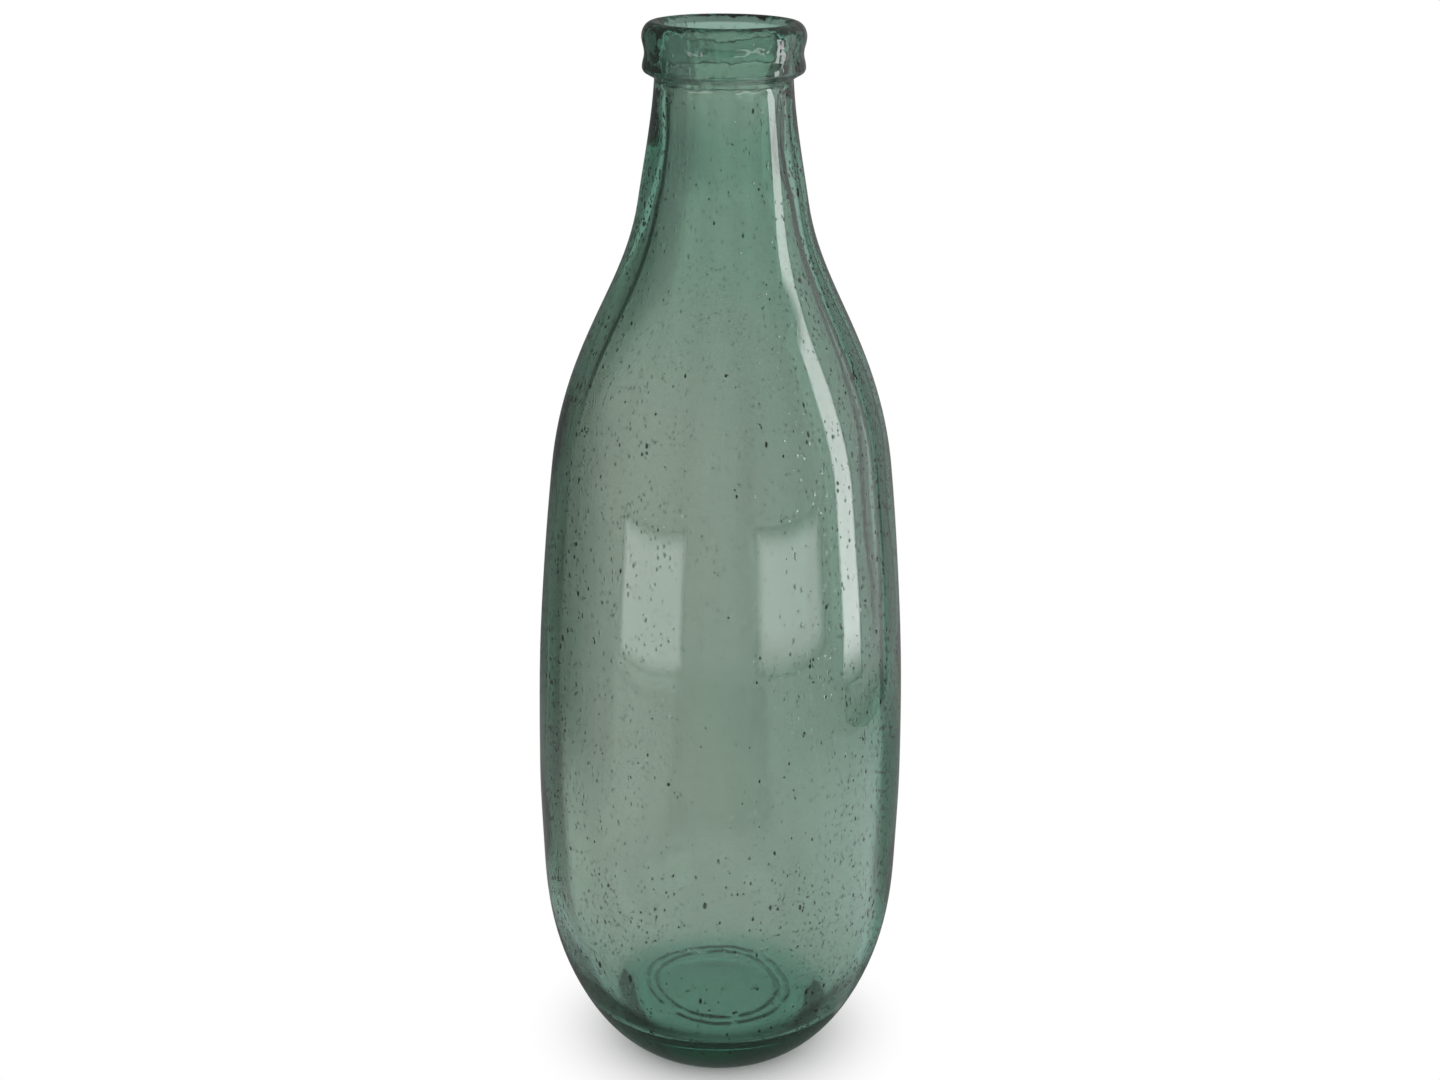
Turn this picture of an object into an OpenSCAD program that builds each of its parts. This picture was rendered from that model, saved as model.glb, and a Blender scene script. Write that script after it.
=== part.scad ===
// Tall blown glass bottle with a double-ringed collar, millimetres, standing on z = 0 with its axis on z.
// The whole bottle is one wall of glass, turned from one closed section: the outside from the foot up
// to the rim, the mouth and the hollow down to the floor with its two rings, and the shallow underside.

/* [Overall] */
// Height from the surface it stands on to the top of the rim
height = 400; // [370:1:430]

/* [Body] */
// Greatest diameter, at the belly
belly_d = 140.2; // [130:0.2:150]
// Height of the belly
belly_z = 118; // [104:1:132]
// Diameter of the flank, below the belly
flank_d = 138; // [128:0.2:140]
// Height of the flank
flank_z = 80; // [70:1:90]
// Lean of the flank from upright, in degrees
flank_lean = 2.3; // [1:0.1:6]
// Diameter of the heel, where the side turns under
heel_d = 111; // [102:0.2:118]
// Height of the heel
heel_z = 24; // [18:0.5:30]
// Lean of the heel from upright, in degrees
heel_lean = 28.5; // [22:0.5:36]

/* [Shoulder and neck] */
// Diameter of the shoulder, where the side starts to turn in
shoulder_d = 127; // [118:0.2:134]
// Distance of the shoulder below the rim
shoulder_drop = 162.5; // [150:0.5:175]
// Lean of the shoulder from upright, in degrees
shoulder_lean = 6.1; // [4:0.1:10]
// Diameter of the slope, half way from the shoulder to the neck
slope_d = 96.5; // [88:0.5:104]
// Distance of the slope below the rim
slope_drop = 110; // [102:0.5:118]
// Lean of the slope from upright, in degrees
slope_lean = 24.3; // [20:0.1:30]
// Diameter of the throat, where the neck begins
throat_d = 61.8; // [56:0.2:66]
// Distance of the throat below the rim
throat_drop = 63.7; // [56:0.1:72]
// Lean of the throat from upright, in degrees
throat_lean = 8.8; // [6:0.1:12]
// Diameter of the neck just under the collar
neck_d = 49.6; // [48:0.1:54]
// Lean of the neck just under the collar, in degrees
neck_lean = 4; // [1:0.1:8]

/* [Collar and rim] */
// Height of the collar, from its underside to the top of the rim
collar_h = 19.6; // [18:0.1:24]
// Diameter of the collar's lower ring
bead_d = 58.1; // [56.8:0.1:61]
// Height of the lower ring's middle above the collar's underside
bead_rise = 3.8; // [3:0.1:5]
// Radius of the lower ring's rounded edge
bead_round = 2.4; // [1.6:0.1:2.8]
// Diameter of the groove between the two rings
groove_d = 56.6; // [54:0.1:57.6]
// Distance of the groove below the top of the rim
groove_drop = 11; // [10:0.1:12]
// Diameter of the rolled rim
rim_d = 58.6; // [57:0.1:62]
// Height of the rim's rounded roll, from its widest place to its top
rim_roll = 5.2; // [3.5:0.1:6.5]

/* [Mouth and hollow] */
// Diameter of the straight mouth
mouth_d = 42; // [38:0.1:44]
// Length of the straight mouth, from the roll of the rim down
mouth_l = 37; // [25:0.5:40]
// Thickness of the wall in the body and the shoulder
wall_t = 5.2; // [3:0.1:7]
// Thickness of the wall at the throat
throat_t = 5.5; // [3.5:0.1:7]
// Thickness of the glass at the heel
heel_t = 6; // [4:0.1:8]

/* [Base] */
// Outer diameter of the flat ring it stands on
foot_d = 63.4; // [58:0.2:68]
// Width of the flat ring it stands on
foot_w = 2.9; // [1.5:0.1:5]
// Radius of the corner outside the flat ring
foot_round = 8; // [4:0.5:12]
// Lean of the side where it leaves that corner, in degrees
foot_lean = 54.7; // [48:0.1:62]
// Height of the underside's middle above the flat ring
punt_h = 1.8; // [1:0.1:5]
// Height of the hollow's floor at its edge
floor_z = 17.7; // [14:0.1:22]
// Diameter of the flat part of the floor
floor_d = 80; // [72:0.5:86]
// Rise of the floor at the middle
floor_rise = 0.6; // [0:0.1:3]
// Diameter of the outer of the two raised rings on the floor
ring_d = 57; // [50:0.2:62]
// Distance from the outer ring to the inner one, middle to middle
ring_step = 4.3; // [3:0.1:6]
// Width of each raised ring
ring_w = 1.8; // [0.8:0.1:2.4]
// Height of each raised ring
ring_h = 0.8; // [0.3:0.1:1.2]

/* [Hidden] */

// Steps round a full turn, along each stretch of the sides, and on each small round
turn_steps = 128;
side_steps = 9;
round_steps = 7;
// Share of a stretch's chord that its curve leaves along the lean at each end
pull = 0.35;
// Angle at which the lower ring's rounded edge starts, below the level of its middle
bead_from = -50;

// Radii and heights of the collar and the mouth
rim_r = rim_d / 2;
rim_z = height - rim_roll;
mouth_r = mouth_d / 2;
bead_z = height - collar_h + bead_rise;

// A place on a side is [radius, height, lean from upright], with the lean towards the axis going up
foot_turn = 90 - foot_lean;
foot_top = [foot_d / 2 + foot_round * sin(foot_turn), foot_round * (1 - cos(foot_turn)), -foot_lean];
heel = [heel_d / 2, heel_z, -heel_lean];
flank = [flank_d / 2, flank_z, -flank_lean];
belly = [belly_d / 2, belly_z, 0];
shoulder = [shoulder_d / 2, height - shoulder_drop, shoulder_lean];
slope = [slope_d / 2, height - slope_drop, slope_lean];
throat = [throat_d / 2, height - throat_drop, throat_lean];
neck_top = [neck_d / 2, height - collar_h, neck_lean];

function point(place) = [place[0], place[1]];
function along(place) = [-sin(place[2]), cos(place[2])];

// The same place on the inside of a wall of thickness t
function inside(place, t) = [place[0] - t * cos(place[2]), place[1] - t * sin(place[2]), place[2]];

function bezier(a, b, c, d, t) =
    pow(1 - t, 3) * a + 3 * t * pow(1 - t, 2) * b + 3 * t * t * (1 - t) * c + pow(t, 3) * d;

// Curve up from one place to the next, tangent to the lean at both, without its last point
function stretch(low, high, steps) =
    let (reach = pull * norm(point(high) - point(low)))
    [for (i = [0 : steps - 1])
        bezier(point(low), point(low) + reach * along(low),
            point(high) - reach * along(high), point(high), i / steps)];

// Curve through a list of places, from the first to just before the last
function side(places, steps) =
    [for (i = [0 : len(places) - 2]) each stretch(places[i], places[i + 1], steps)];

// Part of an ellipse about a centre, from one angle to another, with both ends
function round_off(centre, half_w, half_h, from, to, steps) =
    [for (i = [0 : steps])
        let (a = from + (to - from) * i / steps)
        centre + [half_w * cos(a), half_h * sin(a)]];

function reversed(list) = [for (i = [len(list) - 1 : -1 : 0]) list[i]];

// Underside, a shallow dome from the axis out to the inner edge of the flat ring
function underside() =
    let (foot_in = foot_d / 2 - foot_w)
    [for (i = [0 : side_steps])
        let (x = i / side_steps)
        [foot_in * x, punt_h * (1 - x * x)]];

// Outside, from the flat ring up to the top of the neck
function outside() =
    let (wall = side([foot_top, heel, flank, belly, shoulder, slope, throat, neck_top], side_steps))
    concat(
        round_off([foot_d / 2, foot_round], foot_round, foot_round, -90, -90 + foot_turn, round_steps),
        [for (i = [1 : len(wall) - 1]) wall[i]],
        [point(neck_top)]);

// Collar: the chamfer under it, the lower ring, the groove, and the rolled rim as far as the mouth
function collar() =
    let (bead = [bead_d / 2, bead_z, 0],
         groove = [groove_d / 2, height - groove_drop, 0],
         waist = side([bead, groove, [rim_r, rim_z, 0]], round_steps),
         crest = [(rim_r + mouth_r) / 2, rim_z])
    concat(
        round_off([bead_d / 2 - bead_round, bead_z], bead_round, bead_round, bead_from, 0, round_steps),
        [for (i = [1 : len(waist) - 1]) waist[i]],
        round_off(crest, rim_r - crest[0], rim_roll, 0, 180, 2 * round_steps));

// Floor of the hollow at radius r, raised a little towards the axis, with lift added on top
function floor_at(r, lift) = [r, floor_z + floor_rise * (1 - pow(2 * r / floor_d, 2)) + lift];

// One raised ring on the floor, with r at its middle, from its outer foot to its inner foot
function ring(r) =
    [floor_at(r + ring_w / 2, 0), floor_at(r + ring_w / 4, ring_h),
     floor_at(r - ring_w / 4, ring_h), floor_at(r - ring_w / 2, 0)];

// Hollow, from the bottom of the straight mouth down to the middle of the floor
function hollow() =
    let (mouth_end = [mouth_r, rim_z - mouth_l, 0],
         floor_edge = [floor_d / 2, floor_z, -90],
         body = [for (place = [flank, belly, shoulder, slope]) inside(place, wall_t)],
         places = concat([floor_edge, inside(heel, heel_t)], body, [inside(throat, throat_t), mouth_end]),
         wall = side(places, side_steps),
         ring_r = ring_d / 2,
         plate_r = ring_r - ring_step - ring_w)
    concat(
        [point(mouth_end)], reversed(wall), ring(ring_r), ring(ring_r - ring_step),
        [for (i = [round_steps : -1 : 0]) floor_at(plate_r * i / round_steps, 0)]);

module bottle()
    color([0.50, 0.60, 0.54, 0.75])
        rotate_extrude($fn = turn_steps)
            polygon(concat(underside(), outside(), collar(), hollow()));

bottle();
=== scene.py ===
import math

import bpy
import numpy as np
from mathutils import Matrix, Vector


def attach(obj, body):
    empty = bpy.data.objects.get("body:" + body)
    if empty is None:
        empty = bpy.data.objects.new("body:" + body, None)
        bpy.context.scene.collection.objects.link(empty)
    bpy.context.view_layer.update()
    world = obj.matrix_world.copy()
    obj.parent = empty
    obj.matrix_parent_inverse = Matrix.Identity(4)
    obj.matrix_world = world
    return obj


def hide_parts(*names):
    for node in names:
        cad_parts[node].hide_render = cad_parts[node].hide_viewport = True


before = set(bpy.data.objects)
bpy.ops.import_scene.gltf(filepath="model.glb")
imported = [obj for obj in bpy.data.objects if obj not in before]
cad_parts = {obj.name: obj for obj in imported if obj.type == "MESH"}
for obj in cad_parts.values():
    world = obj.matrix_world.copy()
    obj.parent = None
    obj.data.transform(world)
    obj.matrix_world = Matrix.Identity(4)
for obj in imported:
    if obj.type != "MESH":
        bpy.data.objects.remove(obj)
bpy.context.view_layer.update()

mm = 0.001

# The bottle's section, in millimetres. A lean is an angle from upright in degrees, towards the axis going up.
bottleShape = dict(
    height=400, bellyRadius=70.1, bellyZ=118, flankRadius=69, flankZ=80, flankLean=2.3,
    heelRadius=55.5, heelZ=24, heelLean=28.5, shoulderRadius=63.5, shoulderDrop=162.5, shoulderLean=6.1,
    slopeRadius=48.25, slopeDrop=110, slopeLean=24.3, throatRadius=30.9, throatDrop=63.7, throatLean=8.8,
    neckRadius=24.8, neckLean=4, collarHeight=19.6, chamferIn=0.6, chamferRise=0.9,
    beadRadius=29.05, beadRise=3.8, beadRound=2.4, beadFrom=-50,
    grooveRadius=28.3, grooveDrop=11, rimRadius=29.3, rimRoll=5.2, mouthRadius=21, mouthLength=37,
    wall=5.2, throatWall=5.5, heelWall=6, footRadius=31.7, footWidth=2.9, footRound=8, footLean=54.7,
    floorZ=17.7, floorRadius=40, floorRise=0.6, floorRows=(19, 13, 7, 3, 0), puntHeight=1.8,
    ringRadii=(28.5, 24.2), ringWidth=1.8, ringHeight=0.8, ringRows=(0.9, 0.5, 0.25, 0, -0.25, -0.5, -0.9),
    pull=0.35, sideSteps=13, roundSteps=7, evenSteps=9, turnSteps=200)


def place(radius, height, lean):  # a point of the section with the direction that the side has there
    return np.array([radius, height], float), math.radians(lean)


def along(lean):
    return np.array([-math.sin(lean), math.cos(lean)])


def inside(spot, thickness):  # the same place on the other side of a wall
    point, lean = spot
    return point - thickness * np.array([math.cos(lean), math.sin(lean)]), lean


# Cubic Bezier curve between two places, tangent to the lean at both, without its last point
def stretch(low, high, steps, pull):
    reach = pull * np.linalg.norm(high[0] - low[0])
    t = np.linspace(0, 1, steps, endpoint=False)[:, None]
    a, b = low[0], low[0] + reach * along(low[1])
    c, d = high[0] - reach * along(high[1]), high[0]
    return (1 - t) ** 3 * a + 3 * t * (1 - t) ** 2 * b + 3 * t * t * (1 - t) * c + t ** 3 * d


def sideCurve(places, steps, pull):
    return np.concatenate([stretch(low, high, steps, pull) for low, high in zip(places[:-1], places[1:])])


def roundOff(centre, halfWidth, halfHeight, start, end, steps):  # part of an ellipse, with both ends
    a = np.radians(np.linspace(start, end, steps + 1))
    return np.array(centre) + np.stack([halfWidth * np.cos(a), halfHeight * np.sin(a)], 1)


def sidePlaces(s):  # the places that the side goes through, from the corner of the foot up to the neck
    top, turn = s["height"], math.radians(90 - s["footLean"])
    return dict(
        footTop=place(s["footRadius"] + s["footRound"] * math.sin(turn),
                      s["footRound"] * (1 - math.cos(turn)), -s["footLean"]),
        heel=place(s["heelRadius"], s["heelZ"], -s["heelLean"]),
        flank=place(s["flankRadius"], s["flankZ"], -s["flankLean"]),
        belly=place(s["bellyRadius"], s["bellyZ"], 0),
        shoulder=place(s["shoulderRadius"], top - s["shoulderDrop"], s["shoulderLean"]),
        slope=place(s["slopeRadius"], top - s["slopeDrop"], s["slopeLean"]),
        throat=place(s["throatRadius"], top - s["throatDrop"], s["throatLean"]),
        neckTop=place(s["neckRadius"], top - s["collarHeight"], s["neckLean"]))


# Underside: a parabola from the axis out to the inner edge of the flat ring, and the middle of that ring
def undersideRows(s):
    footIn = s["footRadius"] - s["footWidth"]
    x = np.linspace(0, 1, s["evenSteps"])
    dome = np.stack([footIn * x, s["puntHeight"] * (1 - x * x)], 1)
    return np.concatenate([dome, [[(footIn + s["footRadius"]) / 2, 0]]])


# Outside: an arc round the corner of the foot, then one smooth curve through the places up to the neck
def outsideRows(s, places):
    corner = roundOff([s["footRadius"], s["footRound"]], s["footRound"], s["footRound"],
                      -90, -s["footLean"], s["roundSteps"])
    wall = sideCurve(list(places.values()), s["sideSteps"], s["pull"])
    return np.concatenate([corner, wall[1:], places["neckTop"][0][None]])


# Collar: the chamfer under it, an arc round the lower ring, a curve through the groove, and the rolled rim,
# which is the upper half of an ellipse
def collarRows(s):
    top = s["height"]
    beadZ, rimZ = top - s["collarHeight"] + s["beadRise"], top - s["rimRoll"]
    middle = (s["neckRadius"] + s["beadRadius"]) / 2
    chamfer = [[middle - s["chamferIn"], top - s["collarHeight"] + s["chamferRise"]]]
    edge = roundOff([s["beadRadius"] - s["beadRound"], beadZ], s["beadRound"], s["beadRound"],
                    s["beadFrom"], 0, s["roundSteps"])
    bead = place(s["beadRadius"], beadZ, 0)
    groove = place(s["grooveRadius"], top - s["grooveDrop"], 0)
    waist = sideCurve([bead, groove, place(s["rimRadius"], rimZ, 0)], s["roundSteps"], s["pull"])
    crest = (s["rimRadius"] + s["mouthRadius"]) / 2
    rim = roundOff([crest, rimZ], s["rimRadius"] - crest, s["rimRoll"], 0, 180, 3 * s["roundSteps"])
    return np.concatenate([chamfer, edge, waist[1:], rim])


# Hollow: straight down the mouth, then through the side's places moved inwards by the wall, then the floor,
# a shallow parabola with close rows where the two rings stand
def hollowRows(s, places):
    rimZ, steps = s["height"] - s["rimRoll"], s["evenSteps"]
    mouthEnd = place(s["mouthRadius"], rimZ - s["mouthLength"], 0)
    mouth = np.stack([np.full(steps, s["mouthRadius"]), np.linspace(rimZ, mouthEnd[0][1], steps + 1)[1:]], 1)
    inner = [place(s["floorRadius"], s["floorZ"], -90), inside(places["heel"], s["heelWall"])]
    inner += [inside(places[name], s["wall"]) for name in ("flank", "belly", "shoulder", "slope")]
    inner += [inside(places["throat"], s["throatWall"]), mouthEnd]
    rows = [radius + s["ringWidth"] * k for radius in s["ringRadii"] for k in s["ringRows"]]
    rows = np.array([(s["floorRadius"] + rows[0]) / 2, *rows, *s["floorRows"]])
    floor = np.stack([rows, s["floorZ"] + s["floorRise"] * (1 - (rows / s["floorRadius"]) ** 2)], 1)
    return np.concatenate([mouth, sideCurve(inner, s["sideSteps"], s["pull"])[::-1], floor])


def bottleSection(s):  # the four stretches of the section, as (radius, height) rows
    places = sidePlaces(s)
    return undersideRows(s), outsideRows(s, places), collarRows(s), hollowRows(s, places)


# Blown glass is never quite true: slow swells round and up the wall, larger inside than outside, a hollow
# that sits off centre, so that one side of the body is thicker, and two rings that wander and break off.
# A pair whose name ends in From or To is heights in millimetres, between which something comes in or goes out.
# The last number that a call of swell gives is its random seed.
bottleWander = dict(
    outerSwell=0.10, outerFrom=(0, 14), outerTo=(372, 388), innerSwell=0.35, innerFrom=(18, 30),
    innerTo=(352, 376), evenSide=(0.2, 0.9), evenShare=0.6, lipSwell=0.12, lipFiner=3,
    offCentre=1.5, offCentreTurn=180, offCentreFrom=(22, 70), offCentreTo=(265, 345),
    # Some of the ring numbers set how dark and how wide the painted shade along the rings' lines is
    ringWander=0.5, ringNear=1.3, ringLine=1.3, ringShadeReach=1.8, ringShade=1.0, ringFront=0.2,
    ringWhole=0.35, ringBreak=(-0.75, 0.1))


def smoothStep(low, high, x):
    t = np.clip((x - low) / (high - low), 0, 1)
    return t * t * (3 - 2 * t)


# A sum of slow waves in angle and height, between about -1 and 1
def swell(angle, height, seed):
    dice = np.random.default_rng(seed)
    total = np.zeros(np.broadcast(angle, height).shape)
    for turns in (1, 2, 3, 4, 5, 7):
        wave, turnPhase, heightPhase = dice.uniform(45, 140), *dice.uniform(0, 2 * math.pi, 2)
        total += np.cos(turns * angle + turnPhase) * np.cos(2 * math.pi * height / wave + heightPhase)
    return total / 3


def hollowRadius(s, height):  # below the hollow's floor it is the floor's own radius
    hollow = hollowRows(s, sidePlaces(s))
    side = hollow[(hollow[:, 0] > s["floorRadius"]) | (hollow[:, 1] > 3 * s["floorZ"])][::-1]
    return np.interp(height, side[:, 1], side[:, 0])


def hollowShift(height, w):  # how far the hollow's centre lies off the axis at a height, in millimetres
    rise, fall = smoothStep(*w["offCentreFrom"], height), smoothStep(*w["offCentreTo"], height)
    return w["offCentre"] * rise * (1 - fall)


# The hollow's radius on the side of the bottle that an angle points to
def openingAt(s, w, height, turn):
    return hollowRadius(s, height) + hollowShift(height, w) * np.cos(turn - math.radians(w["offCentreTurn"]))


def backShare(turn, least):  # least at the front of the bottle and 1 at the back
    return (1 + least) / 2 + (1 - least) / 2 * np.sin(turn)


# The two rings on the floor: how far each point goes out, how far up, and how much painted shade darkens the
# ring's line. All three fade with the distance from the ring's middle, and are strongest at the back of the
# bottle.
def floorRings(s, w, floor, radius, turn):
    ragged, ridge, paintedShade = 0, 0, 0
    back = backShare(turn, w["ringFront"])
    for k, middle in enumerate(s["ringRadii"]):
        off = np.abs(radius - middle) / s["ringWidth"]
        near = floor * (off < w["ringNear"])
        wander = swell(3 * turn, 0, 12 + k) + 0.6 * swell(9 * turn, 0, 22 + k)
        wander = wander + 0.7 * swell(23 * turn, 0, 32 + k)
        broken = swell(2 * turn, 0, 42 + k) + 0.5 * swell(7 * turn, 0, 52 + k)
        strong = smoothStep(*w["ringBreak"], broken + w["ringWhole"])
        ragged = ragged + w["ringWander"] * near * wander * back
        ridge = ridge + near * s["ringHeight"] * smoothStep(0, 1, w["ringLine"] - 2 * off) * strong
        # Painted shade along each ring's line
        paintedShade = paintedShade + w["ringShade"] * near * smoothStep(0, 1, w["ringShadeReach"] - 2 * off) * strong * back
    return ragged, ridge, paintedShade


def closedFaces(rows, columns):  # triangles over a grid that goes all the way round and ends in two poles
    here = 1 + np.arange(rows * columns).reshape(rows, columns)
    right = np.roll(here, -1, 1)
    quads = np.stack([here[:-1], right[:-1], right[1:], here[1:]], -1).reshape(-1, 4)
    first = np.stack([np.zeros(columns, int), right[0], here[0]], 1)
    final = np.stack([here[-1], right[-1], np.full(columns, rows * columns + 1)], 1)
    return np.concatenate([first, quads[:, [0, 1, 2]], quads[:, [0, 2, 3]], final])


# The section turned about the axis: row i, column j is at the outline's place i and the angle j, moved by
# the swells along the radius and by the hollow's shift sideways. The outline's two ends are single points.
def turnedGlass(s, w, m):
    stretches = bottleSection(s)
    outline = np.concatenate(stretches)
    kind = np.repeat([0, 1, 2, 3], [len(rows) for rows in stretches])[1:-1, None]  # 3 is the hollow
    radius, height = outline[1:-1, 0, None], outline[1:-1, 1, None]
    turn = np.linspace(0, 2 * math.pi, s["turnSteps"], endpoint=False)[None]
    steady = smoothStep(*w["outerFrom"], height) * (1 - smoothStep(*w["outerTo"], height))
    outer = (kind == 1) * w["outerSwell"] * steady * (swell(turn, height, 3) - 1)
    near = smoothStep(*w["innerFrom"], height) * (1 - smoothStep(*w["innerTo"], height))
    even = 1 - w["evenShare"] * smoothStep(*w["evenSide"], np.cos(turn))  # the thick side is the more even
    inner = (kind == 3) * w["innerSwell"] * near * even * swell(turn, height, 5)
    lip = (kind == 2) * w["lipSwell"] * swell(turn, w["lipFiner"] * height, 8)
    floor = (kind == 3) * (height < s["floorZ"] + 1)
    ragged, ridge, paintedShade = floorRings(s, w, floor, radius, turn)
    around = radius + outer + inner * (height > s["floorZ"] + 2) + lip + ragged
    shift, towards = (kind == 3) * hollowShift(height, w), math.radians(w["offCentreTurn"])
    x = around * np.cos(turn) + shift * math.cos(towards)
    y = around * np.sin(turn) + shift * math.sin(towards)
    rings = np.stack([x, y, height + ridge + 0 * x], -1)
    points = np.concatenate([[[0, 0, outline[0, 1]]], rings.reshape(-1, 3), [[0, 0, outline[-1, 1]]]])
    marks = glassMarks(s, w, m, kind, radius, height, turn, around, paintedShade)
    marks = {name: np.concatenate([[0], np.broadcast_to(part, x.shape).ravel(), [0]])
             for name, part in marks.items()}
    return points, closedFaces(*x.shape), marks


# How much painted shade darkens each part of the glass towards its outline, where real glass would show dark
# surroundings, and its other marks, which are painted shade as well. A start is 0 where a surface faces the
# eye and 1 at the outline. Pairs whose names end in At are heights in millimetres.
bottleMarks = dict(
    rightSide=(-0.3, 0.7), shareRange=(0.74, 0.97), thinStart=0.05, edgeLow=0.9, edgeHigh=0.45,
    edgeThick=0.06, edgeHighAt=(250, 330), thickFade=0.2, thickFadeAt=(140, 200), edgeAt=(45, 85),
    edgeSoft=0.035, heelAt=(40, 58), heelFrom=24, heelStart=0.36, heelSlope=0.0105, heelRange=(0.36, 0.8),
    heelSoft=0.05, heelDark=1.0, heelThick=0.1, heelLeast=0.2, heelDarkAt=(16, 28),
    insideStart=0.84, insideThick=0.07, insideDark=0.9, insideAt=(60, 100), mouthAbove=350, mouthDark=0.22,
    lipStart=0.36, beadStart=0.24, lipAt=(387, 391), lipSoft=0.16, lipDark=0.85,
    rimDrop=2.4, rimWidth=4.2, rimFade=1.2, rimFront=0.1, rimShade=0.9, seedShade=1.1,
    broadLeft=0.6, broadRight=0.25, broadAt=(60, 90), limbDark=1.0, limbWidth=0.85, limbLeftAt=(245, 285),
    limbRightAt=(130, 165), limbTo=(374, 380), speckSides=(0.55, 0.9), speckHeel=(0.1, 0.6), speckLeast=0.1)


# Numbers kept at every point of the glass for its material, all of them for painted shade: where the dark edge
# starts, how softly and how dark it is, the painted dark lines of the floor's rings and of the lip, the broad
# painted shade of the thin side, how strong and how wide the thin painted dark line at the hollow's limb is,
# and how many painted dark specks show. On the outside the edge starts where the eye's line just misses the
# hollow, at 1 - sqrt(1 - share * share), with the hollow's share of the radius. In the heel it is a broad
# crescent, whose start rises with height.
def glassMarks(s, w, m, kind, radius, height, turn, around, paintedShade):
    outer, collar, inner = kind == 1, kind == 2, kind == 3
    thick = smoothStep(*m["rightSide"], np.cos(turn))
    thin = 1 - thick
    share = openingAt(s, w, height, turn) / np.maximum(around, 1) - m["thinStart"] * thin
    share = np.clip(share, *m["shareRange"])
    facing = np.sqrt(1 - share ** 2)
    low = 1 - smoothStep(*m["heelAt"], height)
    crescent = np.clip(m["heelStart"] + m["heelSlope"] * (height - m["heelFrom"]), *m["heelRange"])
    start = (1 - low) * (1 - facing) + low * crescent
    lip = collar & (radius > (s["rimRadius"] + s["mouthRadius"]) / 2)
    mouth = (collar & ~lip) | (inner & (height > m["mouthAbove"]))
    lipStart = m["beadStart"] + (m["lipStart"] - m["beadStart"]) * smoothStep(*m["lipAt"], height)
    insideStart = m["insideStart"] + m["insideThick"] * thick
    # How dark the painted shade towards the outline is, by height and side
    shade = m["edgeLow"] + m["edgeThick"] * thick
    shade = shade + (m["edgeHigh"] - m["edgeLow"]) * smoothStep(*m["edgeHighAt"], height)
    shade = shade * (1 - m["thickFade"] * thick * smoothStep(*m["thickFadeAt"], height))
    shade = shade * smoothStep(*m["edgeAt"], height)
    heel = m["heelLeast"] + (1 - m["heelLeast"]) * smoothStep(*m["heelDarkAt"], height)
    heel = heel * m["heelDark"] * (1 - m["heelThick"] * thick)
    edge = outer * (shade + low * heel) + inner * m["insideDark"] * smoothStep(*m["insideAt"], height)
    # Painted shade along the back of the lip's rim
    rimEdge = smoothStep(0, m["rimFade"], s["mouthRadius"] + m["rimWidth"] - radius)
    rimLine = (height > s["height"] - m["rimDrop"]) * rimEdge * backShare(turn, m["rimFront"])
    # Painted shade: a thin dark line at the hollow's limb, from its own height on each side
    limb = thin * smoothStep(*m["limbLeftAt"], height) + thick * smoothStep(*m["limbRightAt"], height)
    # Painted broad shade towards the outline, stronger on the thin side
    broad = m["broadLeft"] * thin + m["broadRight"] * thick
    across = np.abs(np.cos(turn))
    gather = np.maximum(smoothStep(*m["speckSides"], across), low * smoothStep(*m["speckHeel"], across))
    return dict(
        # Painted shade also darkens the lip's ends, the mouth and the inside of the hollow near its limb
        edgeStart=np.where(inner, insideStart, np.where(lip, lipStart, np.where(mouth, -1, start))),
        edgeSoft=np.where(lip, m["lipSoft"], m["edgeSoft"] + outer * low * m["heelSoft"]),
        edgeShade=np.where(lip, m["lipDark"], np.where(mouth, m["mouthDark"], edge)),
        paintedShade=paintedShade + m["rimShade"] * collar * rimLine,
        broadShade=outer * broad * smoothStep(*m["broadAt"], height),
        limb=m["limbDark"] * outer * limb * (1 - smoothStep(*m["limbTo"], height)),
        limbWidth=m["limbWidth"] / np.maximum(radius, 5) * share / facing,
        seeded=outer * (m["speckLeast"] + (1 - m["speckLeast"]) * gather))


# Seeds are the small bubbles left in the wall. Each is a cavity: an ellipsoid, drawn out upwards, whose faces
# look inwards. They gather at the left and right, and all through the heel. Sizes are half widths.
seedPlaces = dict(
    between=(9, 376), sides=(0.72, 0.95), heelTo=(35, 60), heelSides=(0.25, 0.65), heelLeast=0.3,
    wallShare=0.22, clearSize=1.7, clearSkin=0.5, tall=(1.0, 2.2))
smallSeeds = dict(count=2400, smallest=0.24, spread=0.14, largest=0.6, middle=0.05, columns=5, rows=3, seed=21)
largeSeeds = dict(count=360, smallest=0.42, spread=0.14, largest=0.85, middle=0.02, columns=8, rows=4, seed=22)


def unitBubble(columns, rows):  # a sphere of a few dozen faces, with its poles closed, facing inwards
    polar = np.linspace(0, math.pi, rows + 1)[1:-1, None]
    turn = np.linspace(0, 2 * math.pi, columns, endpoint=False)[None]
    ring = np.stack([np.sin(polar) * np.cos(turn), np.sin(polar) * np.sin(turn),
                     np.broadcast_to(np.cos(polar), (rows - 1, columns))], -1).reshape(-1, 3)
    return np.concatenate([[[0, 0, 1]], ring, [[0, 0, -1]]]), closedFaces(rows - 1, columns)


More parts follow.
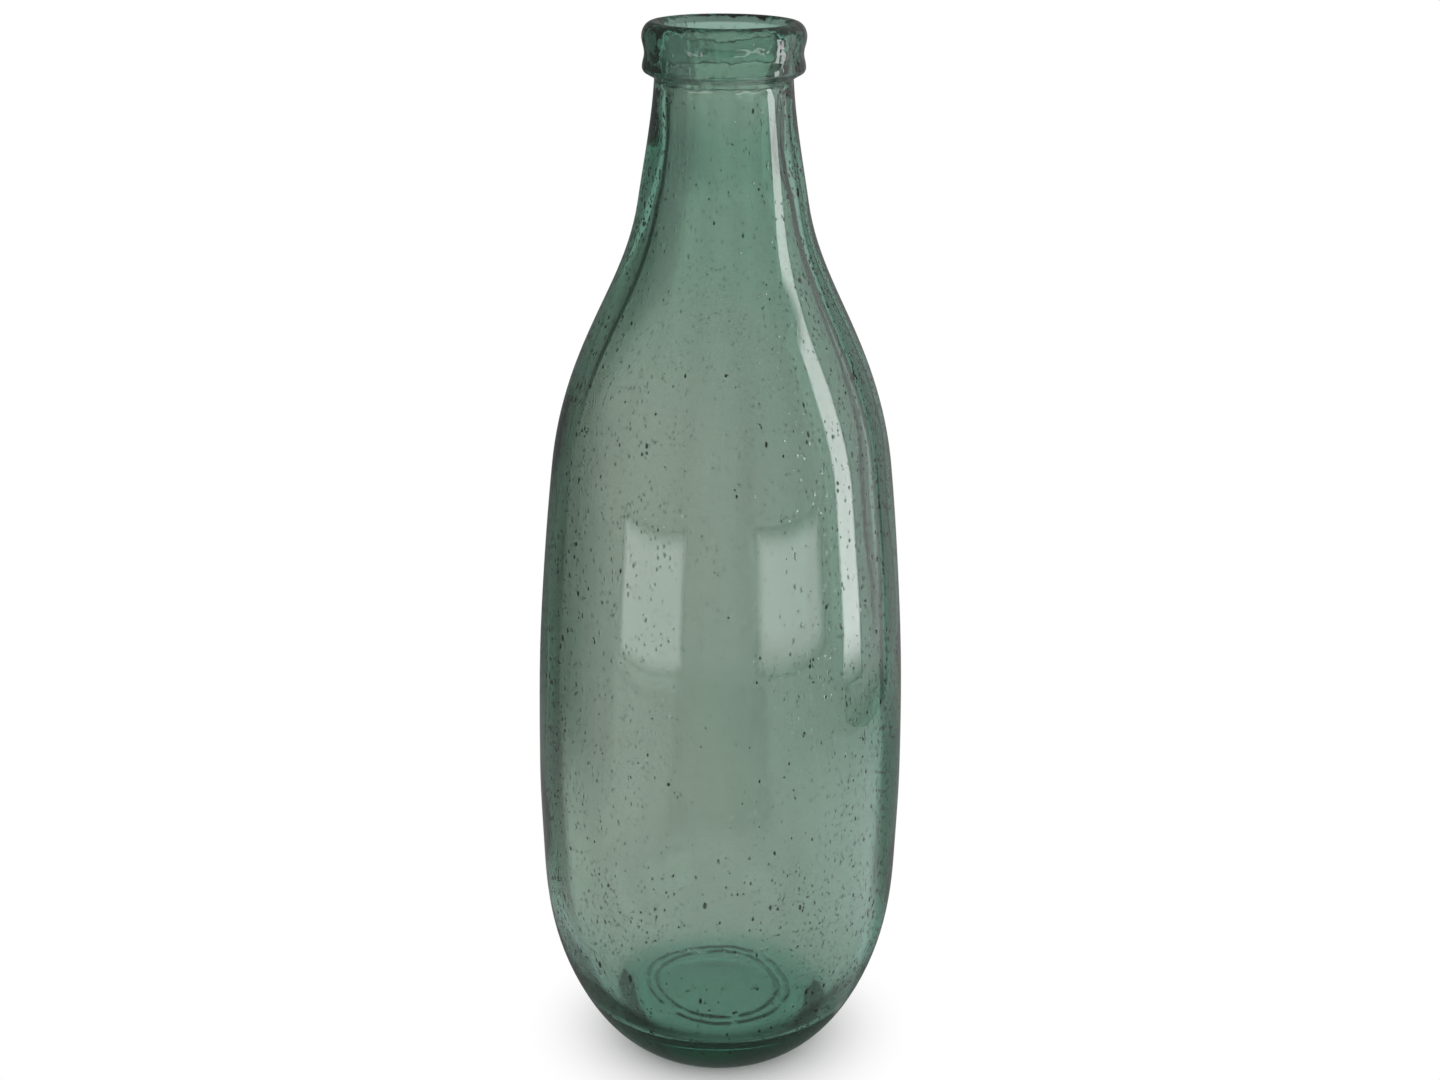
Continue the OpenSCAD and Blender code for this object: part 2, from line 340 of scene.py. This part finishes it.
# Each seed's centre is at a random height and angle, a random share of the way through the wall. Its points
# are that centre and a unit sphere's points times the seed's half widths.
def seeds(s, w, p, b):
    dice = np.random.default_rng(b["seed"])
    outside = outsideRows(s, sidePlaces(s))
    tries = 4 * b["count"]
    height = dice.uniform(*p["between"], tries)
    outer = np.interp(height, outside[:, 1], outside[:, 0])
    turn = dice.uniform(0, 2 * math.pi, tries)
    across = np.abs(np.cos(turn))
    low = p["heelLeast"] + (1 - p["heelLeast"]) * smoothStep(*p["heelSides"], across)
    low = low * (1 - smoothStep(*p["heelTo"], height))
    gather = np.maximum(smoothStep(*p["sides"], across), low)
    chance = outer / s["bellyRadius"] * (b["middle"] + (1 - b["middle"]) * gather)
    keep = dice.uniform(0, 1, tries) < chance
    height, outer, turn = (part[keep][:b["count"]] for part in (height, outer, turn))
    inner = openingAt(s, w, height, turn)
    thick = outer - inner
    size = b["smallest"] + dice.exponential(b["spread"], len(height))
    size = np.minimum(np.minimum(size, b["largest"]), p["wallShare"] * thick)
    clear = p["clearSize"] * size + p["clearSkin"]
    radius = inner + clear + dice.uniform(0, 1, len(height)) * (thick - 2 * clear)
    centre = np.stack([radius * np.cos(turn), radius * np.sin(turn), height], 1)
    scale = np.stack([size, size, size * dice.uniform(*p["tall"], len(height))], 1)
    points, faces = unitBubble(b["columns"], b["rows"])
    cloud = centre[:, None] + points[None] * scale[:, None]
    offsets = np.arange(len(height))[:, None, None] * len(points)
    return cloud.reshape(-1, 3), (faces[None] + offsets).reshape(-1, 3)


def meshObject(name, points, faces, material):
    mesh = bpy.data.meshes.new(name)
    mesh.from_pydata((points * mm).tolist(), [], faces.tolist())
    mesh.polygons.foreach_set("use_smooth", np.ones(len(mesh.polygons), bool))
    mesh.materials.append(material)
    mesh.validate()
    mesh.update()
    thing = bpy.data.objects.new(name, mesh)
    bpy.context.scene.collection.objects.link(thing)
    return thing


def keepMark(thing, name, values):  # one number at each point, which the material reads by its name
    held = thing.data.attributes.new(name, "FLOAT", "POINT")
    held.data.foreach_set("value", np.ravel(values).astype(np.float32))


class NodeBench:  # short ways to lay nodes in a tree
    def __init__(self, tree):
        self.tree = tree

    def node(self, kind, inputs=None, **settings):
        made = self.tree.nodes.new("ShaderNode" + kind)
        for key, value in settings.items():
            setattr(made, key, value)
        for key, value in (inputs or {}).items():
            self.feed(made.inputs[key], value)
        return made

    def feed(self, socket, value):
        if isinstance(value, bpy.types.NodeSocket):
            self.tree.links.new(value, socket)
        else:
            socket.default_value = value

    def math(self, operation, a, b=0.0):
        return self.node("Math", {0: a, 1: b}, operation=operation).outputs[0]

    def product(self, *parts):
        total = parts[0]
        for part in parts[1:]:
            total = self.math("MULTIPLY", total, part)
        return total

    def ramp(self, value, low, high, toLow=0.0, toHigh=1.0, smooth=True):
        kind = "SMOOTHSTEP" if smooth else "LINEAR"
        inputs = dict(enumerate((value, low, high, toLow, toHigh)))
        return self.node("MapRange", inputs, interpolation_type=kind).outputs[0]

    def between(self, share, a, b):  # a where the share is 0, b where it is 1
        return self.ramp(share, 0, 1, a, b, smooth=False)

    def curve(self, value, stops):  # straight lines through (value, result) pairs; the results are 0 to 1
        low, high = stops[0][0], stops[-1][0]
        made = self.node("ValToRGB", {0: self.ramp(value, low, high, smooth=False)})
        elements = made.color_ramp.elements
        for _ in stops[2:]:
            elements.new(0.5)
        for element, (at, result) in zip(elements, stops):
            element.position = (at - low) / (high - low)
        for element, (at, result) in zip(elements, stops):
            element.color = (result, result, result, 1)
        return made.outputs[0]

    def mixColour(self, factor, a, b, blend="MIX"):  # each colour is a socket or three shares of light
        a, b = ((*part, 1) if isinstance(part, tuple) else part for part in (a, b))
        return self.node("Mix", {0: factor, 6: a, 7: b}, data_type="RGBA", blend_type=blend).outputs[2]

    def timesColour(self, factor, colour, by):  # a colour, and by a share of it the same colour times another
        return self.mixColour(factor, colour, self.mixColour(1.0, colour, by, "MULTIPLY"))

    def mark(self, name):  # a number kept at the object's points
        return self.node("Attribute", attribute_name=name).outputs["Fac"]

    def axes(self, vector):
        return self.node("SeparateXYZ", {0: vector}).outputs

    def stretched(self, vector, scale):
        return self.node("Mapping", {"Vector": vector, "Scale": scale}).outputs[0]

    def noise(self, vector, scale, detail):
        inputs = {"Vector": vector, "Scale": scale, "Detail": detail}
        return self.node("TexNoise", inputs, noise_dimensions="3D").outputs[0]

    def group(self, tree, inputs):
        made = self.node("Group")
        made.node_tree = tree
        for key, value in inputs.items():
            self.feed(made.inputs[key], value)
        return made

    def mixShaders(self, share, a, b):
        return self.node("MixShader", {0: share, 1: a.outputs[0], 2: b.outputs[0]}).outputs[0]


def emptyBench(owner):  # for a material or a world
    owner.use_nodes = True
    owner.node_tree.nodes.clear()
    return NodeBench(owner.node_tree)


# A node group that takes a vector and some numbers, and gives numbers
def numberGroup(name, numbers, results):
    group = bpy.data.node_groups.new(name, "ShaderNodeTree")
    face = group.interface
    for key, value in numbers.items():
        face.new_socket(key, in_out="INPUT", socket_type="NodeSocketFloat").default_value = value
    face.new_socket("Vector", in_out="INPUT", socket_type="NodeSocketVector")
    for key in results:
        face.new_socket(key, in_out="OUTPUT", socket_type="NodeSocketFloat")
    given, out = group.nodes.new("NodeGroupInput"), group.nodes.new("NodeGroupOutput")
    return group, given.outputs, out.inputs


# The skin's forms: heights in metres at full strength, noise scales per metre, and the pits' half widths as
# shares of their spacing, with the share of their spacing's fineness that they keep upright
skinForms = dict(
    rippleHeight=0.12 * mm, rippleDetail=1.5, peelHeight=0.004 * mm, peelScale=260, pitHeight=0.05 * mm,
    pitUpright=0.5, pitSmall=0.08, pitLarge=0.3, lumpHeight=1.6 * mm, lumpScale=100, fineDetail=2)


# Height of the glass's skin, in metres: slow ripples from the mould, fine orange peel, the small upright pits
# that seeds near the surface make, and the collar's lumps. The mask is 1 in the middle of a pit.
def glassSkinGroup(f):
    numbers = {"Ripple": 1.0, "Ripple Size": 22.0, "Peel": 1.0, "Pits": 1.0, "Pit Spacing": 5.0, "Lumps": 0.0}
    group, given, out = numberGroup("glassSkin", numbers, ("Height", "Pit Mask"))
    bench = NodeBench(group)
    where = given["Vector"]
    ripple = bench.noise(where, bench.math("DIVIDE", 1 / mm, given["Ripple Size"]), f["rippleDetail"])
    peel = bench.noise(where, f["peelScale"], f["fineDetail"])
    lumps = bench.noise(where, f["lumpScale"], f["fineDetail"])
    pitScale = bench.math("DIVIDE", 1 / mm, given["Pit Spacing"])
    upright = bench.stretched(where, (1, 1, f["pitUpright"]))
    pits = bench.node("TexVoronoi", {"Vector": upright, "Scale": pitScale}, feature="F1")
    chosen = bench.node("SeparateColor", {0: pits.outputs["Color"]}).outputs[0]
    size = bench.ramp(chosen, 0.0, 1.0, f["pitSmall"], f["pitLarge"], smooth=False)
    spread = bench.math("DIVIDE", pits.outputs["Distance"], bench.math("ADD", size, 0.001))
    dip = bench.ramp(spread, 0.0, 1.0, 1.0, 0.0)
    broad = bench.math("ADD", bench.product(ripple, given["Ripple"], f["rippleHeight"]),
                       bench.product(peel, given["Peel"], f["peelHeight"]))
    small = bench.math("ADD", bench.product(dip, given["Pits"], f["pitHeight"]),
                       bench.product(lumps, given["Lumps"], f["lumpHeight"]))
    bench.feed(out["Height"], bench.math("ADD", broad, small))
    bench.feed(out["Pit Mask"], dip)
    return group


# Smoky grey-green glass. The skin takes a little of every colour, and the depth of glass takes red most. A
# tint is the share of red, green and blue that is left, and taken is how much a metre of glass absorbs. The
# colours for the heel, crescent, edge, collar, the painted dark lines, limb, broad shade and specks are
# painted shade, which stands in for the dark that real glass shows of its surroundings. Pairs whose names end
# in At are heights in metres.
glassLook = dict(
    skinTint=(0.74, 0.67, 0.63), streakTint=(0.68, 0.62, 0.58), streakScale=(30, 30, 6), streakNoise=5.0,
    streakDetail=3, neckTint=(0.82, 0.95, 0.91), neckAt=(0.24, 0.34),
    heelTint=(0.07, 0.24, 0.15), crescentTint=(0.006, 0.014, 0.008), crescentAt=(0.018, 0.03),
    edgeTint=(0.06, 0.12, 0.08), edgeAt=(0.045, 0.06), collarTint=(0.015, 0.04, 0.025),
    collarAt=(0.378, 0.381), stainTint=(0.02, 0.06, 0.04), limbTint=(0.02, 0.06, 0.035), limbFade=(0.4, 1.2),
    broadTint=(0.33, 0.8, 0.52), broadFrom=(0.2, 0.7), speckTint=(0.04, 0.08, 0.06), speckFrom=(0.15, 0.5),
    taken=(79, 32, 41), density=100, ior=1.52, smoothest=0.004, roughest=0.02, roughFrom=(0.3, 0.75),
    haze=0.03, hazeColour=(0.5, 0.62, 0.55), hazeLow=(0.25, 0.75, 0.52), hazeAt=(0.02, 0.04),
    seedMark=2, seedFrom=(1.2, 1.8), seedSolid=0.75, seedColour=(0.02, 0.035, 0.028),
    ripple=0.8, rippleSize=24, peel=0.5, pits=4.5, pitSpacing=2.2, lumpsAt=(0.372, 0.384))


# Colour of the glass's skin: faint streaks, cleared in the neck, then painted shade: darker towards the edge,
# along the painted dark lines of the rings, the lip and the seeds, along the line at the hollow's limb, over
# the thin side, and in the specks
def skinColour(bench, look, facing, height, streaks, speck):
    tint = bench.mixColour(streaks, look["streakTint"], look["skinTint"])
    tint = bench.timesColour(bench.ramp(height, *look["neckAt"]), tint, look["neckTint"])
    # Painted shade: the skin darkens towards its outline, most in the heel's crescents and the collar
    start, soft = bench.mark("edgeStart"), bench.mark("edgeSoft")
    edge = bench.ramp(facing, bench.math("SUBTRACT", start, soft), bench.math("ADD", start, soft))
    shadeTone = look["heelTint"]
    for name in ("crescent", "edge", "collar"):
        shadeTone = bench.mixColour(bench.ramp(height, *look[name + "At"]), shadeTone, look[name + "Tint"])
    shadow = bench.mixColour(bench.product(edge, bench.mark("edgeShade")), (1, 1, 1), shadeTone)
    tint = bench.mixColour(1.0, tint, shadow, "MULTIPLY")
    # Painted shade along the rings, the lip's rim and in the seeds
    tint = bench.timesColour(bench.mark("paintedShade"), tint, look["stainTint"])
    # Painted shade: a thin dark line where the hollow's limb shows
    apart = bench.math("ABSOLUTE", bench.math("SUBTRACT", facing, start))
    line = bench.ramp(bench.math("DIVIDE", apart, bench.mark("limbWidth")), *look["limbFade"], 1.0, 0.0)
    tint = bench.timesColour(bench.product(line, bench.mark("limb")), tint, look["limbTint"])
    # Painted shade over the thin side, towards its outline
    wide = bench.product(bench.ramp(facing, *look["broadFrom"]), bench.mark("broadShade"))
    tint = bench.timesColour(wide, tint, look["broadTint"])
    # Painted shade in the specks, where seeds near the skin look dark
    return bench.timesColour(speck, tint, look["speckTint"])


# Clear glass with a little matt haze. Specks and seeds are mostly matt and dark, because a real seed throws
# light away from the eye, which bubbles with so few faces can't do by themselves.
def seededGlass(skin, look):
    material = bpy.data.materials.new("seededGreenGlass")
    bench = emptyBench(material)
    where = bench.node("TexCoord").outputs["Object"]
    height = bench.axes(where)[2]
    facing = bench.node("LayerWeight").outputs["Facing"]
    long = bench.stretched(where, look["streakScale"])
    streaks = bench.noise(long, look["streakNoise"], look["streakDetail"])
    surface = bench.group(skin, {
        "Vector": where, "Ripple": look["ripple"], "Ripple Size": look["rippleSize"],
        "Peel": look["peel"], "Pits": look["pits"], "Pit Spacing": look["pitSpacing"],
        "Lumps": bench.ramp(height, *look["lumpsAt"])})
    raised = {"Distance": 1.0, "Strength": 1.0, "Height": surface.outputs["Height"]}
    bump = bench.node("Bump", raised).outputs[0]
    seeded = bench.mark("seeded")
    # Painted shade: dark specks in the pits, more at the sides and in the heel
    speck = bench.product(bench.ramp(surface.outputs["Pit Mask"], *look["speckFrom"]), seeded)
    bubble = bench.ramp(seeded, *look["seedFrom"])
    dark = bench.math("MAXIMUM", bench.math("MINIMUM", speck, 1.0), bubble)
    solid = bench.product(dark, look["seedSolid"])
    rough = bench.ramp(streaks, *look["roughFrom"], look["smoothest"], look["roughest"], smooth=False)
    glass = bench.node("BsdfPrincipled", {
        "Base Color": skinColour(bench, look, facing, height, streaks, speck), "Roughness": rough,
        "IOR": look["ior"], "Transmission Weight": 1.0, "Normal": bump})
    low = bench.mixColour(bench.ramp(height, *look["hazeAt"]), look["hazeLow"], look["hazeColour"])
    matt = bench.mixColour(bench.ramp(solid, 0.0, 0.2), low, look["seedColour"])
    haze = bench.node("BsdfDiffuse", {"Color": matt, "Normal": bump})
    left = [1 - part / look["density"] for part in look["taken"]]
    depth = bench.node("VolumeAbsorption", {"Color": (*left, 1), "Density": look["density"]})
    skinShader = bench.mixShaders(bench.math("MAXIMUM", solid, look["haze"]), glass, haze)
    bench.node("OutputMaterial", {"Surface": skinShader, "Volume": depth.outputs[0]})
    return material


def makeBottle():
    glass = seededGlass(glassSkinGroup(skinForms), glassLook)
    allPoints, allFaces, marks = turnedGlass(bottleShape, bottleWander, bottleMarks)
    wallFaces = len(allFaces)
    for kind in (smallSeeds, largeSeeds):
        bubblePoints, bubbleFaces = seeds(bottleShape, bottleWander, seedPlaces, kind)
        allFaces = np.concatenate([allFaces, bubbleFaces + len(allPoints)])
        allPoints = np.concatenate([allPoints, bubblePoints])
    a, b, c = (allPoints[allFaces[:, k]] for k in range(3))
    volume = np.einsum("ij,ij->i", a, np.cross(b, c)) / 6
    print("bottle: %d triangles, %.0f cm3 of glass, seeds take %.2f cm3" % (
        len(allFaces), volume.sum() / 1000, -volume[wallFaces:].sum() / 1000))
    bottle = meshObject("blown_bottle", allPoints, allFaces, glass)
    # Seeds take painted shade in the skin's colour
    inSeeds = dict(paintedShade=bottleMarks["seedShade"], seeded=glassLook["seedMark"])
    for name, values in marks.items():  # a seed's other marks are nought
        left = np.full(len(allPoints) - len(values), inSeeds.get(name, 0))
        keepMark(bottle, name, np.concatenate([values, left]))
    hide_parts("bottle")
    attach(bottle, "root")


# The camera, from the picture's ellipses and outline. The picture is 1440 pixels wide and 1080 high. Lengths
# are in metres, the pitch and the roll in degrees, and the sensor's width in millimetres.
cameraView = dict(distance=0.8349, height=0.4885, aside=-0.00044, pitch=18.61, roll=0.334, focalPixels=2330,
                  pictureWidth=1440, sensor=36, nearest=0.01)


def makeCamera(view):
    camera = bpy.data.cameras.new("camera")
    camera.sensor_width = view["sensor"]
    camera.lens = view["focalPixels"] / view["pictureWidth"] * view["sensor"]
    camera.clip_start = view["nearest"]
    body = bpy.data.objects.new("camera", camera)
    body.matrix_world = (
        Matrix.Translation((view["aside"], -view["distance"], view["height"]))
        @ Matrix.Rotation(math.radians(90 - view["pitch"]), 4, "X")
        @ Matrix.Rotation(math.radians(view["roll"]), 4, "Z"))
    bpy.context.scene.collection.objects.link(body)
    bpy.context.scene.camera = body


# Two low soft panels in front, a tall strip on the right and a dim glow beside it, for reflections only. Each
# has the two ends of its lower edge in metres, the height of its foot and top, how far its top leans, how
# bright it is where white is 1, the share of that for rays that come through the glass, and the shares of its
# width and height that fade out.
panels = dict(
    leftPanel=dict(start=(-0.370, -0.204), end=(-0.148, -0.407), low=0.079, high=0.192, lean=0, bright=2.8,
                   inside=0.9, soft=0.1, softUp=0.16),
    rightPanel=dict(start=(0.145, -0.409), end=(0.385, -0.19), low=0.086, high=0.196, lean=0, bright=3.3,
                    inside=0.9, soft=0.16, softUp=0.22),
    rightStrip=dict(start=(0.403, -0.100), end=(0.405, 0.020), low=0.05, high=0.5, lean=-0.055, bright=7.5,
                    inside=0.3, soft=0.18, softUp=0.09),
    sideGlow=dict(start=(0.46, -0.09), end=(0.40, 0.26), low=0.0, high=0.55, lean=0, bright=1.3, inside=0.0,
                  soft=0.25, softUp=0.1))
panelPoints = 33


def panelGlow():
    material = bpy.data.materials.new("panelGlow")
    bench = emptyBench(material)
    throughGlass = bench.node("LightPath").outputs["Is Transmission Ray"]
    share = bench.between(throughGlass, 1.0, bench.mark("inside"))
    glow = bench.node("Emission", {"Strength": bench.product(bench.mark("glow"), share)})
    bench.node("OutputMaterial", {"Surface": glow.outputs[0]})
    material.cycles.emission_sampling = "NONE"
    return material


# A flat grid between the panel's two ends, which is brightest inside and fades smoothly to its four edges
def makePanel(name, p, material):
    across, up = np.meshgrid(np.linspace(0, 1, panelPoints), np.linspace(0, 1, panelPoints))
    x = p["start"][0] + across * (p["end"][0] - p["start"][0])
    y = p["start"][1] + across * (p["end"][1] - p["start"][1]) + up * p["lean"]
    z = p["low"] + up * (p["high"] - p["low"])
    points = np.stack([x, y, z], -1).reshape(-1, 3) / mm
    here = np.arange(panelPoints ** 2).reshape(panelPoints, panelPoints)
    faces = np.stack([here[:-1, :-1], here[:-1, 1:], here[1:, 1:], here[1:, :-1]], -1).reshape(-1, 4)
    panel = meshObject(name, points, faces, material)
    edge = np.minimum(np.minimum(across, 1 - across) / p["soft"], np.minimum(up, 1 - up) / p["softUp"])
    keepMark(panel, "glow", p["bright"] * smoothStep(0, 1, edge))
    keepMark(panel, "inside", 0 * edge + p["inside"])
    panel.visible_camera = panel.visible_diffuse = panel.visible_shadow = False


# How bright the backdrop behind the bottle is, by the angle from straight back, in degrees to the right
backdrop = [(-45, 0.5), (-20, 0.42), (-9, 0.5), (-6, 0.6), (-4, 0.78), (-2.6, 0.92), (-1.6, 1.0), (15, 1.0),
            (20, 0.9), (21, 0.04), (23.5, 0.04), (25, 0.55), (45, 0.5)]

# The sheets round the studio, where white is 1. An arc is a pair of sines or cosines of the angle from
# straight back, between which one brightness goes over to the next.
sheetLook = dict(
    round=8, sheetArc=(0.25, 0.6), sheetEdge=0.65, gapArc=(-0.9, -0.55), backdropArc=(0.743, 0.788),
    behindArc=(-0.2, 0.9), behindLeft=0.1, behindRight=0.4, shineArc=(-0.3, 0.2), shineFront=0.5,
    sideArc=(0.4, 1.0), sideLeft=0.7, sideRight=1.5, nearArc=(0.1, 0.6), nearBack=0.2)


# How bright the studio is in a direction: white sheets with a dark gap between them, eight times round,
# so that glass seen from any side has a dark edge. The angle is taken about the bottle's axis.
def studioGroup(look):
    results = ("Brightness", "Shine", "Near Shine", "Front")
    group, given, out = numberGroup("studioSheets", {"Gap": 0.15}, results)
    bench = NodeBench(group)
    x, y = bench.axes(given["Vector"])[:2]
    angle = bench.math("ARCTAN2", x, y)
    beat = bench.math("COSINE", bench.product(angle, look["round"]))
    side, back = bench.math("SINE", angle), bench.math("COSINE", angle)
    sheet = bench.ramp(beat, *look["sheetArc"], look["sheetEdge"], 1.0)
    sheet = bench.ramp(beat, *look["gapArc"], given["Gap"], sheet)
    behindBottle = bench.curve(bench.math("DEGREES", angle), backdrop)
    bright = bench.between(bench.ramp(back, *look["backdropArc"]), sheet, behindBottle)
    behind = bench.ramp(side, *look["behindArc"], look["behindLeft"], look["behindRight"])
    shine = bench.ramp(back, *look["shineArc"], look["shineFront"], behind)
    sides = bench.ramp(side, *look["sideArc"], look["sideLeft"], look["sideRight"])
    near = bench.ramp(back, *look["nearArc"], sides, look["nearBack"])
    for name, value in zip(results, (bright, shine, near, bench.product(back, -1.0))):
        bench.feed(out[name], value)
    return group


# The world and the floor. Lengths are in metres. A pair is the two ends of a soft step of the distance from
# the axis or, in ceilingFrom, below and darkFront, of a direction or a brightness.
studioLook = dict(
    plain=0.85, ceiling=0.3, ceilingFrom=(0.45, 0.85), gap=0.15, floorColour=(0.94, 0.94, 0.93),
    floorRough=0.9, floorSpecular=0.2, floorRadius=4.0, floorSteps=96, white=(0.02, 0.08),
    sheetSide=(-0.02, 0.02), sheetLeft=0.15, sheetRight=0.42, sheetFade=0.15, halfWidth=0.05,
    below=(0.7, 1.5), belowLeft=0.12, belowRight=0.25, nearTo=(0.065, 0.2), farFrom=(0.3, 0.5),
    darkFrom=(0.29, 0.36), darkTo=(0.65, 0.85), darkFront=(0.9, 0.95), darkShine=0.05)


def mirrored(bench, ray):  # rays thrown back by the outer skin, without those that came through the glass
    through = bench.math("SUBTRACT", 1.0, ray["Is Transmission Ray"])
    return bench.product(ray["Is Glossy Ray"], through)


# White to the camera and plain for the floor's own light. Through the glass the sheets show, with a darker
# ceiling, and in the outer skin their softer shine.
def makeWorld(sheets, look):
    world = bpy.data.worlds.new("studio")
    bpy.context.scene.world = world
    bench = emptyBench(world)
    ray = bench.node("LightPath").outputs
    direction = bench.node("TexCoord").outputs["Generated"]
    around = bench.group(sheets, {"Gap": look["gap"], "Vector": direction}).outputs
    overhead = bench.ramp(bench.axes(direction)[2], *look["ceilingFrom"])
    through = bench.between(overhead, around["Brightness"], look["ceiling"])
    strength = bench.between(ray["Is Transmission Ray"], look["plain"], through)
    strength = bench.between(mirrored(bench, ray), strength, around["Shine"])
    strength = bench.between(ray["Is Camera Ray"], strength, 1.0)
    light = bench.node("Background", {"Color": (1, 1, 1, 1), "Strength": strength})
    bench.node("OutputWorld", {"Surface": light.outputs[0]})


# The floor as the outer skin mirrors it: dim close to the bottle, then the near shine, then the sheets' own,
# with a dark gap between the two panels in front
def floorShine(bench, look, distance, around):
    below = bench.ramp(around["Near Shine"], *look["below"], look["belowLeft"], look["belowRight"])
    near = bench.between(bench.ramp(distance, *look["nearTo"]), below, around["Near Shine"])
    shine = bench.between(bench.ramp(distance, *look["farFrom"]), near, around["Shine"])
    reach = bench.product(bench.ramp(distance, *look["darkFrom"]),
                          bench.ramp(distance, *look["darkTo"], 1.0, 0.0))
    dark = bench.product(reach, bench.ramp(around["Front"], *look["darkFront"]))
    return bench.between(dark, shine, look["darkShine"])


# The floor as it shows through the glass: white close by, and further out the sheets' light, which starts
# nearer on the left than on the right
def floorThrough(bench, look, distance, x, around):
    reach = bench.ramp(x, *look["sheetSide"], look["sheetLeft"], look["sheetRight"])
    patterned = bench.ramp(distance, reach, bench.math("ADD", reach, look["sheetFade"]))
    return bench.between(patterned, 1.0, around["Brightness"])


# A matt disc that takes the bottle's shadow close by and goes over to white further out. For the sheets'
# light the angles are taken from the side of the bottle that the light left.
def makeFloor(sheets, look):
    material = bpy.data.materials.new("paleFloor")
    bench = emptyBench(material)
    matt = bench.node("BsdfPrincipled", {
        "Base Color": (*look["floorColour"], 1), "Roughness": look["floorRough"],
        "Specular IOR Level": look["floorSpecular"]})
    ray = bench.node("LightPath").outputs
    where = bench.node("TexCoord").outputs["Object"]
    distance = bench.node("VectorMath", {0: where}, operation="LENGTH").outputs["Value"]
    x, y = bench.axes(where)[:2]
    nearer = bench.math("MAXIMUM", bench.math("MINIMUM", x, look["halfWidth"]), -look["halfWidth"])
    shifted = bench.node("CombineXYZ", {0: bench.math("SUBTRACT", x, nearer), 1: y}).outputs[0]
    around = bench.group(sheets, {"Gap": look["gap"], "Vector": shifted}).outputs
    inGlass, glossyRay = ray["Is Transmission Ray"], mirrored(bench, ray)
    brightness = bench.between(inGlass, 1.0, floorThrough(bench, look, distance, x, around))
    brightness = bench.between(glossyRay, brightness, floorShine(bench, look, distance, around))
    glow = bench.node("Emission", {"Strength": brightness})
    seen = bench.product(bench.ramp(distance, *look["white"]), ray["Is Camera Ray"])
    share = bench.math("MAXIMUM", bench.math("MAXIMUM", seen, inGlass), glossyRay)
    bench.node("OutputMaterial", {"Surface": bench.mixShaders(share, matt, glow)})
    steps = look["floorSteps"]
    turn = np.linspace(0, 2 * math.pi, steps, endpoint=False)
    rim = np.stack([np.cos(turn), np.sin(turn), 0 * turn], 1) * look["floorRadius"] / mm
    edge = 1 + np.arange(steps)
    faces = np.stack([np.zeros(steps, int), edge, np.roll(edge, -1)], 1)
    floor = meshObject("floor", np.concatenate([[[0, 0, 0]], rim]), faces, material)


# One large soft lamp overhead, for the floor's shadow. Lengths are in metres, and bright is how bright its
# face is.
keyLook = dict(size=1.2, bright=0.5, place=(-0.6, -0.5, 1.6), aim=(0, 0, 0.1))


def makeKey(look):
    lamp = bpy.data.lights.new("softKey", "AREA")
    lamp.size = look["size"]
    lamp.energy = look["bright"] * math.pi * look["size"] ** 2
    thing = bpy.data.objects.new("softKey", lamp)
    thing.location = look["place"]
    thing.rotation_euler = (Vector(look["aim"]) - thing.location).to_track_quat("-Z", "Y").to_euler()
    thing.visible_camera = thing.visible_glossy = thing.visible_transmission = False
    bpy.context.scene.collection.objects.link(thing)


def setRays():
    cycles = bpy.context.scene.cycles
    cycles.max_bounces = 24
    cycles.transmission_bounces = 20
    cycles.glossy_bounces = 10
    cycles.diffuse_bounces = 3
    bpy.context.scene.view_settings.view_transform = "Standard"


makeCamera(cameraView)
makeBottle()
print("bottle made")
sheets = studioGroup(sheetLook)
makeWorld(sheets, studioLook)
makeFloor(sheets, studioLook)
glow = panelGlow()
for name, panel in panels.items():
    makePanel(name, panel, glow)
makeKey(keyLook)
setRays()
print("studio made")
